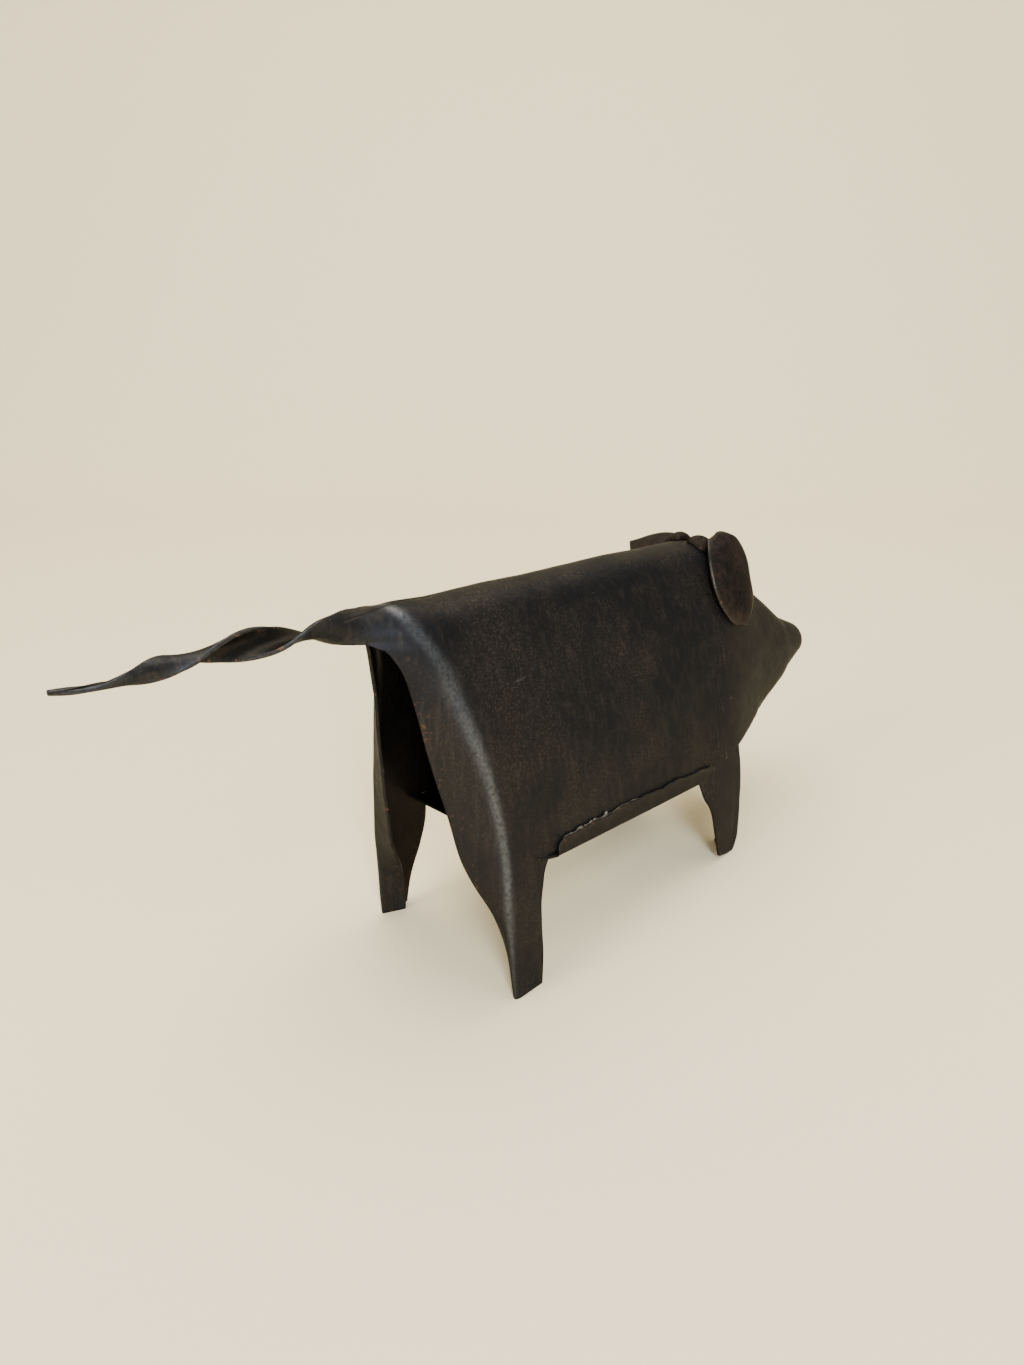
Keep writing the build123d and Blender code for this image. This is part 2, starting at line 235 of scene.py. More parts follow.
def arch_at(x):
    """Lean, top, base, half width, crown radius and flank radius of the arch at a place on the ground.

    Top and half width each follow the smaller of two straight lines, one for the barrel and one for the head,
    and past the crease a third line leads on to the end of the snout.
    """
    head, snout = ramp(x, BROW_X, CREASE_X), ramp(x, CREASE_X, SNOUT_END)
    before_crease = CREASE_X - np.minimum(x, CREASE_X)
    lean = STERN_LEAN * (1 - ramp(x, HEEL_X, BROW_X))
    spine = SPINE_HEIGHT - SPINE_FALL * (x - STERN_X)
    brow = CREASE_TOP + BROW_SLOPE * before_crease - (CREASE_TOP - SNOUT_TOP) * snout
    top = soft_least(spine, brow, BROW_SOFTNESS) / np.cos(lean)
    base = CHIN * head
    cheek = CREASE_HALF + (HALF_WIDTH - CREASE_HALF) * before_crease / (CREASE_X - BROW_X)
    half = soft_least(HALF_WIDTH, cheek - (CREASE_HALF - SNOUT_HALF) * snout, CHEEK_SOFTNESS)
    at_crease, at_snout = CREASE_ROUND * CREASE_HALF, SNOUT_ROUND * SNOUT_HALF
    crown = CROWN_RADIUS + (at_crease - CROWN_RADIUS) * head + (at_snout - at_crease) * snout
    rise = top - crown - base
    flank = (half**2 + rise**2 - crown**2) / (2 * (half - crown))
    return lean, top, base, half, crown, flank


def wall_point(x, z):
    """Point of the right flank at a height.

    Its distance from the middle is the half width less the flank radius plus the chord of the flank circle.
    """
    lean, _, base, half, _, flank = arch_at(x)
    up = z / np.cos(lean)
    out = half - flank + np.sqrt(flank**2 - (up - base) ** 2)
    return np.stack(np.broadcast_arrays(x - up * np.sin(lean), -out, z + 0 * x), axis=-1)


def arch_point(x, low, share):
    """Point of the right half of the arch at a share of the way from the height low to the spine.

    The way is an arc of the flank circle, then an arc of the crown circle, and the arch leans as a whole.
    """
    lean, top, base, half, crown, flank = arch_at(x)
    end = np.arcsin((top - crown - base) / (flank - crown))
    start = np.arcsin(np.clip((low / np.cos(lean) - base) / flank, 0, 1))
    run, over = flank * (end - start), crown * (math.pi / 2 - end)
    far = share * (run + over)
    on_flank = far < run
    angle = np.where(on_flank, start + far / flank, end + (far - run) / crown)
    out = np.where(on_flank, half - flank + flank * np.cos(angle), crown * np.cos(angle))
    up = np.where(on_flank, base + flank * np.sin(angle), top - crown + crown * np.sin(angle))
    return np.stack([x - up * np.sin(lean), -out, up * np.cos(lean)], axis=-1)


# The throat starts to close at the first place and is closed at the second, by this share of the rows
JAW_START = 118.0
JAW_END = 152.0
JAW_ROWS = 0.24


def jaw_point(x, low, share):
    """The arch, closed below before the snout: more and more rows turn under, and the end is an oval.

    Rows under the turn lie between the flank's lower edge and the middle, the others spread over the arch.
    """
    _, top, _, half, _, _ = arch_at(x)
    closed = smooth(ramp(x, JAW_START, JAW_END))
    turn = JAW_ROWS * closed + 1e-9
    under = np.clip(1 - share / turn, 0, 1)
    points = arch_point(x, low, np.clip((share - turn) / (1 - turn), 0, 1))
    points = points * np.stack(np.broadcast_arrays(1.0, 1 - closed * under, 1.0), axis=-1)
    angle = math.pi * (share - 0.5)
    oval_z = (low + top) / 2 + (top - low) / 2 * np.sin(angle)
    oval = np.stack(np.broadcast_arrays(x, -half * np.cos(angle), oval_z), axis=-1)
    ease = (ramp(x, BROW_X, SNOUT_END) * SNOUT_HALF / half)[..., None]
    return points * (1 - ease) + oval * ease


def station(x, z):
    """Ground place of the leaning arch that passes through a point seen from the side."""
    return x + z * np.tan(STERN_LEAN * (1 - ramp(x, HEEL_X, BROW_X)))


print("The spine is", np.round(arch_at(np.array([0.0, 60.0, 120.0]))[1], 1), "mm high at X 0, 60 and 120")

# %% [markdown]
# ## Twisted tail
# The tail is a long tongue left standing on the sheet behind the spine and twisted with pliers, a little
# over a turn and a half from root to tip. A strip like that is easy to describe: where its middle is, how
# wide it is and how far it has turned at each place, all as smooth curves through a few values read from
# the photograph.

# %% Twisted tail
TAIL_ROOT = -25.0
TAIL_END = -91.0
SPINE_ACROSS = 0.45
tail_knots = [-91, -84, -76, -68, -60, -52, -45, -38, -31, -24]
tail_turn = [631, 552, 470, 391, 311, 252, 207, 150, 101, 54]
tail_half = [0.4, 0.95, 1.9, 2.6, 2.95, 3.2, 3.35, 3.4, 3.8, 4.5]
tail_height = [99.4, 98.6, 98.2, 98.8, 98.9, 98.4, 97.7, 97.4, 96.3, 95.7]
tail_cup = [0.7, 0.7, 0.6, 0.5, 0.5, 0.55, 0.6, 0.6, 0.5, 0.4]
tail_x = np.linspace(TAIL_ROOT, TAIL_END, 170)


def tail_point(x, across):
    """Point of the strip at a share of its half width, from -1 on the right to 1 on the left.

    The strip is a shallow gutter turned about the tail: the share times the half width goes along the turned
    direction, and a parabola with the depth of the cup goes square to it.
    """
    turn = np.radians(curve_through(tail_knots, tail_turn, x))
    half, height, cup = (curve_through(tail_knots, table, x) for table in (tail_half, tail_height, tail_cup))
    bulge = cup * half * (0.5 - across**2) + SHEET / 2
    y = across * half * np.cos(turn) - bulge * np.sin(turn)
    z = height + across * half * np.sin(turn) + bulge * np.cos(turn)
    return np.stack(np.broadcast_arrays(x, y, z), axis=-1)


print("The tail turns", tail_turn[0] - tail_turn[-1], "degrees in", tail_knots[-1] - tail_knots[0], "mm")

# %% [markdown]
# ## Rear: stern panels and rolled rear legs
# At the back the flank is folded inwards along a long soft ridge, and its free edge runs slantwise from
# the tail to the knee. Below the knee the fold closes further, so each leg is a flattened roll. Every row
# of the grid is therefore a path with one fold. The corner and the free edge are read from a few measured
# heights, and one smooth curve through them shapes panel and leg together.

# %% Paths round the stern
UPPER_ROWS = 60
LEG_ROWS = 40
STERN_COLUMNS = 40
SIDE_START = 3.0
LAP_REAR = 13.2
BELLY_REAR = 33.9
BELLY_FALL = 0.046
BELLY_FRONT = 74.5
CHEST_X = 99.0
CHEST_HEIGHT = 34.0
NOTCH_HEIGHT = 91.4
NOTCH_HALF = 9.17
stern_share = np.linspace(0, 1, STERN_COLUMNS + 1)

fold_heights = [0, 8, 15, 24, 34, 45, 57, 68, 78, 86, 91.4, 98.4]
fold_x = {
    -1: [-5.3, -5.7, -5.6, -5.2, -4.2, -4.2, -5.2, -7.2, -9.4, -11.3, -14.0, -20.3],
    1: [-4.6, -4.9, -5.2, -5.7, -6.3, -7.0, -7.9, -9.1, -11.2, -14.0, -16.4, -20.3],
}
fold_reach = [4.0, 3.8, 3.6, 3.4, 3.2, 3.2, 3.6, 4.2, 4.6, 4.6, 4.2, 3.6]

edge_heights = [0, 8, 17, 23, 30, 34.5, 48.6, 63, 76, 86, 91.4]
edge_right = [
    (0.5, -21.7), (-0.8, -21.1), (-3.2, -20.8), (-5.3, -20.3), (-7.6, -16.5), (-9.2, -15.0),
    (-11.8, -12.1), (-14.4, -9.3), (-16.7, -7.7), (-19.4, -6.4), (-22.3, -4.6),
]
edge_left = [
    (3.4, -23.3), (2.6, -22.2), (-0.8, -19.4), (-4.2, -17.2), (-8.0, -14.4), (-9.2, -13.4),
    (-12.6, -10.6), (-15.4, -8.0), (-17.8, -5.6), (-20.8, -4.4), (-23.6, -3.4),
]
EDGE_LIFT = {-1: 0.0, 1: 6.8}
LIFT_START = 74.0
CORNER_LIFT = 0.65
CROWN_RISE = 2.2
CROWN_POWER = 0.7
CROWN_PULL = 1.3
LIFT_FADE = 6.0
TAIL_PULL = 14.0
TAIL_SHARE = 0.4


def belly_line(x):
    """Lower edge of the flank: straight lines that fall along the belly and rise to chest and chin."""
    belly = BELLY_REAR - BELLY_FALL * (x - LAP_REAR)
    belly_end = BELLY_REAR - BELLY_FALL * (BELLY_FRONT - LAP_REAR)
    chest = np.interp(x, [BELLY_FRONT, CHEST_X, SNOUT_END], [belly_end, CHEST_HEIGHT, CHIN])
    return np.where(x < BELLY_FRONT, belly, chest)


def stern_rows(side_points, side, edge):
    """Fold path of each row: from the flank, round the ridge, to the free edge or to the root of the tail.

    The tail leaves the stern with a turn, so its left edge stands high, and the left panel's edge is drawn
    up to it. Rows near the spine are mixed with a cubic that comes in along the tail, so the crown runs on
    into the strip.
    """
    height = side_points[:, 2]
    corner = np.stack([curve_through(fold_heights, fold_x[side], height), side_points[:, 1], height], axis=-1)
    lifted = height + EDGE_LIFT[side] * smooth((height - LIFT_START) / (NOTCH_HEIGHT - LIFT_START))
    free = np.concatenate([curve_through(edge_heights, edge, height), lifted[:, None]], axis=-1)
    on_tail = height > NOTCH_HEIGHT
    across = side + (SPINE_ACROSS - side) * np.linspace(0, 1, on_tail.sum())
    free[on_tail] = tail_point(TAIL_ROOT, across) * [1, -side, 1]
    arrive = TAIL_PULL * (tail_point(TAIL_ROOT - 1.0, across) * [1, -side, 1] - free[on_tail])
    over = np.clip(1 - (side_points[on_tail, 1] / NOTCH_HALF) ** 2, 0, 1) ** CROWN_POWER
    corner[on_tail, 2] += CROWN_RISE * over
    fading = np.where(on_tail, 1 - smooth((height - NOTCH_HEIGHT) / LIFT_FADE), 1)
    corner[:, 2] += CORNER_LIFT * (lifted - height) * fading
    rows = folded(side_points, corner, free, curve_through(fold_heights, fold_reach, height), stern_share)
    start, end = side_points[on_tail, None], free[on_tail, None]
    leave = CROWN_PULL * (corner[on_tail, None] - start)
    eased = cubic(stern_share[:, None], start, leave, end, arrive[:, None])
    share = TAIL_SHARE * smooth(np.linspace(0, 2, on_tail.sum()))[:, None, None]
    rows[on_tail] = rows[on_tail] * (1 - share) + eased * share
    return rows


print("The belly is", float(belly_line(LAP_REAR)), "mm high behind and", CHEST_HEIGHT, "mm at the chest")

# %% [markdown]
# ## Columns along the side
# The legs are tongues of the same sheet, cut with snips, so their edges wander and are read at a few
# heights. The columns of the grids are placed so that each leg hangs from whole columns of the flank.
# Then leg and flank share their border points, and welding them leaves no gap.

# %% Columns along the side
leg_heights = [0, 8, 17, 24, 28, 31.5, 34.0]
rear_front_right = [5.8, 6.1, 5.9, 6.3, 7.3, 8.6, 10.5]
rear_front_left = [6.2, 8.0, 11.2, 12.7, 12.8, 12.2, 10.5]
front_leg_heights = [0, 4.3, 12.7, 19.3, 23.8, 27.2, 31.1]
front_leg_rear = [87.0, 85.6, 83.3, 81.0, 77.9, 76.4, 74.5]

rear_top = station(rear_front_right[-1], BELLY_REAR)
leg_x = np.linspace(SIDE_START, rear_top, 9)
barrel_x = np.linspace(rear_top, station(front_leg_rear[-1], front_leg_heights[-1]), 92)
shoulder_x = np.linspace(barrel_x[-1], BROW_X, 28)
head_x = np.linspace(BROW_X, CREASE_X, 66)
snout_x = np.linspace(CREASE_X, SNOUT_END, 20)
side_x = np.concatenate([leg_x, barrel_x[1:], shoulder_x[1:], head_x[1:], snout_x[1:]])
print("Each side has", len(side_x), "columns from the rear leg to the snout")


def near(points, edge_points, reach):
    """Closeness to an edge: 1 on it, falling off with distance over the reach."""
    return np.exp(-np.linalg.norm(points - edge_points, axis=-1) / reach)


def marked(points, worn, edge):
    """Two marks for every point of a grid: its wear with the painted highlight of folds, and how close it is
    to a cut edge.
    """
    return np.stack(np.broadcast_arrays(worn, edge, points[..., 0])[:2], axis=-1)


# %% [markdown]
# ## Upper body
# Everything above the belly line is one sweep of the arch formula, from the rear leg to the end of the
# snout, with the fold paths of the stern set on behind it. Two marks go with every point: how much wear
# and painted highlight the place takes, and how near it lies to a cut edge. The finish reads them later,
# because folds rub bright and are painted brighter still as a highlight, and cut edges rust first.

# %% Upper body of one side: stern, barrel and head
BROW_COLUMNS = 7
BROW_PASSES = 16
upper_share = np.linspace(0, 1, UPPER_ROWS + 1)[:, None]


def ridge_wear_and_highlight(share):
    """Wear and painted highlight on a fold: a bell round the middle of the bend."""
    return np.exp(-(((share - 0.45) / 0.07) ** 2))


def upper_side(side, edge):
    """Grids of the sheet above the belly line on one side: the flank with the head, and the stern behind it.

    The barrel meets the head in a faint crease at the brow. It is rounded off, but for the two lowest
    rows, because the front leg hangs from them.
    """
    flank = jaw_point(side_x[None, :], belly_line(side_x)[None, :], upper_share)
    brow = int(np.searchsorted(side_x, BROW_X))
    relax(flank[2:], brow - BROW_COLUMNS, brow + BROW_COLUMNS + 1, BROW_PASSES)
    stern = stern_rows(flank[:, 0], side, edge)
    stern_edge = near(stern, stern[:, -1:], 2.2) * (upper_share < 0.8)
    flank_edge = near(flank, flank[:1], 1.6) * (side_x > rear_top)
    # The middle of the stern fold is marked for wear and for a painted highlight
    return flank, marked(flank, 0, flank_edge), stern, marked(stern, ridge_wear_and_highlight(stern_share), stern_edge)


probe = upper_side(-1, edge_right)
print("Stern reaches from", probe[2].min(axis=(0, 1)).round(1), "to", probe[2].max(axis=(0, 1)).round(1))

# %% [markdown]
# ## Rear legs
# Each rear leg is the flank carried on to the ground, with the stern panel rolled round behind it until
# it is nearly closed. It uses the wall of the arch and the fold paths of the stern again, so the ridge
# runs down the leg without a break.

# %% Rear leg of one side
leg_rise = np.linspace(0, 1, LEG_ROWS + 1)[:, None]


def rear_leg(side, edge, front_x):
    """Grids of one rear leg under the belly line: its outer wall and the rolled part behind it."""
    level = leg_rise * belly_line(leg_x)[None, :]
    front = station(curve_through(leg_heights, front_x, level[:, -1:]), level[:, -1:])
    front = np.where(leg_rise == 1, rear_top, front)
    along = (leg_x - SIDE_START) / (rear_top - SIDE_START)
    wall = wall_point(SIDE_START + (front - SIDE_START) * along, level)
    roll = stern_rows(wall[:, 0], side, edge)
    wall_edge = np.maximum(near(wall, wall[:, -1:], 1.6), near(wall, wall[:1], 1.6))
    roll_edge = np.maximum(near(roll, roll[:, -1:], 2.2), near(roll, roll[:1], 1.6))
    # Wear and painted highlight of the fold fade towards the foot
    worn = ridge_wear_and_highlight(stern_share) * (0.25 + 0.75 * leg_rise)
    return wall, marked(wall, 0, wall_edge), roll, marked(roll, worn, roll_edge)


print("The right rear foot is", round(rear_front_right[0] - fold_x[-1][0], 1), "mm long")

# %% [markdown]
# ## Front legs
# A front leg is a tapering tongue whose front edge is folded inwards to stiffen it. Wall and fold are two
# grids with one border in common. Both front legs are alike, because only the right one shows in the
# photograph.

# %% Front leg of one side
FOOT_LIFT = 1.5
SHIN_FOLD = 4.9
SHIN_REACH = 3.6
SHIN_LEAF = 7.0
TOE_DRAW = 1.5
TOE_CUT = 1.2
TOE_HEIGHT = 4.0
LEAF_AHEAD = 0.6
LEAF_BACK = 2.6
TUCK = (0.0, 1.2, 1.6)
fold_share = np.linspace(0, 1, 19)


def front_leg():
    """Grids of one front leg: a tapering wall and a fold across its front edge, with a narrow leaf behind it.

    The top of the fold is tucked a little way up behind the chest, so no slit of light is left between them.
    """
    along = np.linspace(0, 1, len(shoulder_x))[None, :]
    level = leg_rise * belly_line(shoulder_x)[None, :] + FOOT_LIFT * (1 - leg_rise) ** 8 * (1 - along)
    rear = station(curve_through(front_leg_heights, front_leg_rear, level[:, :1]), level[:, :1])
    rear = np.where(leg_rise == 1, shoulder_x[0], rear)
    wall = wall_point(rear + (BROW_X - TOE_DRAW * (1 - leg_rise) ** 6 - rear) * along, level)
    bend = wall[:, -1]
    toe = TOE_CUT * np.clip(1 - bend[:, 2] / TOE_HEIGHT, 0, 1) ** 1.5
    leaf = SHIN_LEAF * np.sqrt(np.clip(1.02 - leg_rise[:, 0] ** 3, 0, 1))
    corner = bend + np.stack([SHIN_FOLD - toe, 0 * toe, 0 * toe], axis=-1)
    free = corner + np.stack([LEAF_AHEAD - LEAF_BACK * (1 - leg_rise[:, 0]), leaf, 0 * toe], axis=-1)
    fold = folded(bend, corner, free, SHIN_REACH, fold_share)
    tucked = smooth(4 * fold_share)[None, :] * leg_rise**10
    fold = fold + tucked[..., None] * TUCK
    wall_edge = np.maximum(near(wall, wall[:, :1], 1.6), near(wall, wall[:1], 1.6))
    fold_edge = np.maximum(near(fold, fold[:, -1:], 2.0), near(fold, fold[:1], 1.6))
    # The front leg's fold gets a weaker mark of wear and painted highlight
    return wall, marked(wall, 0, wall_edge), fold, marked(fold, 0.6 * ridge_wear_and_highlight(fold_share), fold_edge)


print("A front foot is", round(BROW_X - front_leg_rear[0], 1), "mm long before its fold")

# %% [markdown]
# ## One sheet from all the grids
# Flank, stern, legs and tail share their border points, so welding makes one sheet of them, as on the
# real pig. The left half is the same set of formulas with its own edge tables, mirrored across the spine.
# Before the sheet gets its gauge, slow waves move every point a little along its normal: hand-worked iron
# is never quite even.

# %% Assemble the body sheet
# Where the stern meets the tail, this many columns before and behind are rounded
ROOT_BEFORE = 12
ROOT_BEHIND = 16
ROOT_PASSES = 70


def waves(points):
    """Unevenness of hand work: a sum of slow waves over the surface, about a quarter of a millimetre high."""
    x, y, z = points.T
    slow = np.sin(x / 11.3 + z / 17.0 + 0.7) * np.sin(z / 13.1 - x / 29.0 + y / 40.0)
    middle = np.sin(x / 5.1 - z / 7.7 + 1.9) * np.sin(z / 6.3 + x / 14.0 + 0.4)
    fine = np.sin(x / 2.3 + z / 3.1 + y / 5.0) * np.sin(z / 2.7 - x / 4.1)
    return 0.22 * slow + 0.08 * middle + 0.025 * fine


def half_body(side, edge, front_x):
    """All grids of one side, mirrored across the spine for the left, with the faces turned to suit."""
    flank, flank_mark, stern, stern_mark = upper_side(side, edge)
    wall, wall_mark, roll, roll_mark = rear_leg(side, edge, front_x)
    shin, shin_mark, fold, fold_mark = front_leg()
    tail_from = int(np.argmax(flank[:, 0, 2] > NOTCH_HEIGHT))
    across = side + (SPINE_ACROSS - side) * np.linspace(0, 1, len(flank) - tail_from)
    tail = tail_point(tail_x[None, :], across[:, None])
    mirror = np.array([1, -side, 1])
    right = side < 0
    joined = np.concatenate([stern[tail_from:], tail[:, 1:] * mirror], axis=1)
    joined = relax(joined, STERN_COLUMNS - ROOT_BEFORE, STERN_COLUMNS + ROOT_BEHIND, ROOT_PASSES)
    stern[tail_from:], tail = joined[:, : STERN_COLUMNS + 1], joined[:, STERN_COLUMNS:] * mirror
    # The crown near the tail carries a little wear and painted highlight on into the strip
    stern_mark[tail_from:, :, 0] += 0.1 * smooth((stern_share - 0.6) / 0.4)
    tail_edge = near(tail, tail[:1], 0.9)
    # The tail's cut edges are marked for wear and a painted highlight along the twisted edges
    tail_mark = marked(tail, 0.1 + 0.4 * tail_edge, tail_edge)
    return [
        (flank * mirror, flank_mark, not right),
        (stern * mirror, stern_mark, right),
        (wall * mirror, wall_mark, not right),
        (roll * mirror, roll_mark, right),
        (shin * mirror, shin_mark, not right),
        (fold * mirror, fold_mark, not right),
        (tail, tail_mark, right),
    ]


body_grids = half_body(-1, edge_right, rear_front_right) + half_body(1, edge_left, rear_front_left)
body = sheet_piece("folded_body", body_grids, waviness=waves)

# %% [markdown]
# ## Belly plate
# A second strip closes the belly. Its two long edges are bent up and lap the outside of the flanks, where
# they were tinned and soldered. The section is again a path with one fold, so the same function draws it;
# the rounded ends come from lowering the upper edge near them, and small waves stand for the snipped
# line.

# %% Lapped belly strip
LAP_FRONT = 81.5
LAP_HEIGHT = 2.9
LAP_CORNER = 2.6
LAP_GAUGE = 0.5
WIDE_FRONT = 73.5
FLOOR_REAR = 6.0
FLOOR_HALF = 24.8
FLOOR_DROP = 1.3
FLOOR_RISE = 1.5
FLOOR_OUT = 0.75
LAP_OUT = 0.65
LAP_REACH = 1.3
FREE_START = 75.0
FREE_RUN = 5.0
FREE_LIFT = 0.4
# Past this place the belly line rises to the chest, which the lap does not follow
LAST_BELLY = BELLY_FRONT - 0.1
lap_share = np.linspace(0, 1, 41)


def lap_top(x):
    """Upper edge of the lap: 3 to 4 mm over the belly line, rounded down at both ends and a little uneven."""
    middle, half = (LAP_REAR + LAP_FRONT) / 2, (LAP_FRONT - LAP_REAR) / 2
    end = np.clip((np.abs(x - middle) - half + LAP_CORNER) / LAP_CORNER, 0, 1)
    uneven = 0.16 * np.sin(x / 1.9) + 0.14 * np.sin(x / 3.3 + 1.0) + 0.1 * np.sin(x / 0.83)
    height = LAP_HEIGHT + np.sin(math.pi * ramp(x, LAP_REAR, LAP_FRONT))
    rounding = 2.4 * (1 - np.sqrt(1 - 0.98 * end**2))
    return belly_line(np.minimum(x, LAST_BELLY)) + height - rounding + uneven


def lap_rows(x):
    """Half of the belly strip: a fold path from the top of the lap down the flank and in to the middle."""
    top = lap_top(x)
    rise = FLOOR_RISE * (1 - ramp(x, FLOOR_REAR, LAP_REAR))
    floor = belly_line(np.minimum(x, LAST_BELLY)) - FLOOR_DROP + rise
    lift = 0.16 + 0.12 * np.sin(x / 2.7 + 0.5) * np.sin(x / 7.1)
    lift = lift + FREE_LIFT * smooth((x - FREE_START) / FREE_RUN)
    upper = wall_point(station(x, top), top)
    lower = wall_point(station(x, floor), floor)
    upper = np.stack([x, upper[:, 1] - LAP_OUT - lift, top], axis=-1)
    lower = np.stack([x, lower[:, 1] - FLOOR_OUT, floor], axis=-1)
    return folded(upper, lower, np.stack([x, 0 * x, floor], axis=-1), LAP_REACH, lap_share)


wide = lap_rows(np.linspace(LAP_REAR, WIDE_FRONT, 150))
tab = lap_rows(np.linspace(WIDE_FRONT, LAP_FRONT, 24))
rear_floor = lap_rows(np.linspace(FLOOR_REAR, LAP_REAR, 10))
# The floor and the upright part of the lap are the two straights of the fold path
between = lap_share >= 0.69
on_lap = lap_share <= 0.255


def belly_grids(side):
    """Grids of half the strip: the lapped length, the free end of the lap and the floor between the legs."""
    mirror = np.array([1, -side, 1])
    floor_rear = rear_floor[:, between].copy()
    floor_rear[..., 1] = FLOOR_HALF * wide[:1, between, 1] / -wide[0, between, 1].min()
    floor_front = tab[:, between].copy()
    floor_front[..., 1] = wide[-1:, between, 1]
    pieces = []
    for part, lapped in ((wide, 1), (tab[:, on_lap], 1), (floor_rear, 0), (floor_front, 0)):
        edge = lapped * near(part, part[:, :1], 1.2)
        pieces.append((part * mirror, marked(part, 0.4 * edge, edge), side > 0))
    return pieces


belly = sheet_piece("lapped_belly", belly_grids(-1) + belly_grids(1), thickness=LAP_GAUGE)

# %% [markdown]
# ## Ears
# Each ear is a leaf of sheet whose neck stands in a slot in the shoulder. The right one bends over and
# hangs, the left one sticks out. A leaf is fully described by its two long edges, so each edge is a curve
# through a few points and the surface is stretched between them, with a little cupping across.

# %% Leaf ears
ear_along = np.linspace(0, 1, 61)
ear_across = np.linspace(0, 1, 25)
right_rear = [
    (97.0, -4.4, 88.0), (97.3, -6.2, 94.4), (94.9, -8.4, 92.8), (93.0, -10.4, 89.8), (91.5, -13.2, 84.2),
    (92.4, -14.5, 79.7), (95.3, -15.2, 75.0), (100.2, -15.5, 70.2), (104.0, -15.6, 68.8),
]
right_front = [
    (102.0, -4.4, 88.0), (101.4, -6.4, 95.8), (106.5, -8.6, 94.8), (109.9, -9.6, 92.0), (112.3, -11.1, 86.9),
    (111.3, -13.5, 80.9), (111.1, -14.8, 76.2), (110.0, -15.3, 71.6), (106.4, -15.6, 68.5),
]
left_rear = [
    (97.0, 4.4, 88.0), (94.9, 6.1, 90.8), (94.4, 9.0, 90.6), (94.4, 13.0, 89.2),
    (94.6, 17.5, 87.4), (96.4, 20.8, 86.4), (99.0, 23.0, 86.4),
]
left_front = [
    (102.0, 4.4, 88.0), (104.4, 6.0, 92.0), (103.8, 9.0, 92.7), (103.6, 13.0, 92.5),
    (103.7, 18.0, 91.0), (103.6, 22.5, 89.0), (102.9, 25.4, 87.7),
]


def leaf(rear, front, cup):
    """Surface between two edge curves: straight across, raised in the middle by the cup times a parabola."""
    knots = np.linspace(0, 1, len(rear))
    one, other = curve_through(knots, rear, ear_along), curve_through(knots, front, ear_along)
    across = ear_across[None, :, None]
    points = one[:, None] * (1 - across) + other[:, None] * across
    rise = 4 * across * (1 - across) * smooth(ear_along / 0.4)[:, None, None]
    return points + rise * np.asarray(cup)


def ear_piece(name, rear, front, cup, turned):
    """One ear as a sheet with its cut edges marked."""
    points = leaf(rear, front, cup)
    edge = np.maximum(near(points, points[:, :1], 0.9), near(points, points[:, -1:], 0.9))
    edge = np.maximum(edge, near(points, points[-1:], 0.9))
    return sheet_piece(name, [(points, marked(points, edge, edge), turned)], waviness=waves)


hanging_ear = ear_piece("hanging_ear", right_rear, right_front, (0.0, -1.3, 0.3), True)
standing_ear = ear_piece("standing_ear", left_rear, left_front, (0.0, 0.4, 1.0), False)

# %% [markdown]
# ## Solder
# The maker ran soft solder along the rear half of each lap and flooded it round the necks of the ears.
# Cold solder on the lap sits as crumbs, so the bead is a tube whose radius wanders. At the ears it spread
# into a low cushion on the crown, so that one is laid on the arch formula.

# %% Lumps and beads of solder
BEAD_REAR = 15.4
BEAD_FRONT = 45.6
BEAD_OUT = 0.45
# Place, width and share of each drop
DROPS = ((32.0, 0.7, 1.0), (21.0, 0.6, 0.5))
COLLAR_X = 99.3
COLLAR_REACH = 6.0
COLLAR_HEIGHT = 2.7
COLLAR_DEPTH = 0.5
COLLAR_SHARE = 0.936
COLLAR_SPREAD = 0.054
ring_angle = np.linspace(0, 2 * math.pi, 13)


def bead(side):
    """A tube along the top of the lap: its radius is a product of waves that shrinks to nothing at both ends.

    Two drops, as bell curves of the place, stand out from the row of crumbs.
    """
    x = np.linspace(BEAD_REAR, BEAD_FRONT, 220)
    z = lap_top(x) + 0.1
    wall = wall_point(station(x, z), z)
    run = (x - x[0]) / (x[-1] - x[0])
    patches = 0.55 + 0.45 * np.sin(x / 4.3 + 2.0)
    crumbs = np.abs(np.sin(x / 0.61) * np.sin(x / 1.37 + 0.8)) ** 1.4 * patches
    drop = sum(share * np.exp(-(((x - place) / width) ** 2)) for place, width, share in DROPS)
    radius = (0.10 + 0.38 * crumbs + 0.35 * drop) * np.sqrt(np.clip(1 - (2 * run - 1) ** 40, 0, 1))
    y, z = wall[:, 1] - BEAD_OUT, z + 0.6 * drop
    angle = ring_angle[None, :]
    knob = 1 + 0.25 * np.sin(3 * angle + x[:, None] * 2.1)
    ring_y = y[:, None] - 0.75 * (radius[:, None] * knob) * np.cos(angle)
    ring_z = z[:, None] + (radius[:, None] * knob) * np.sin(angle)
    tube = np.stack([x[:, None] + 0 * ring_y, ring_y, ring_z], axis=-1)
    return tube * [1, -side, 1]


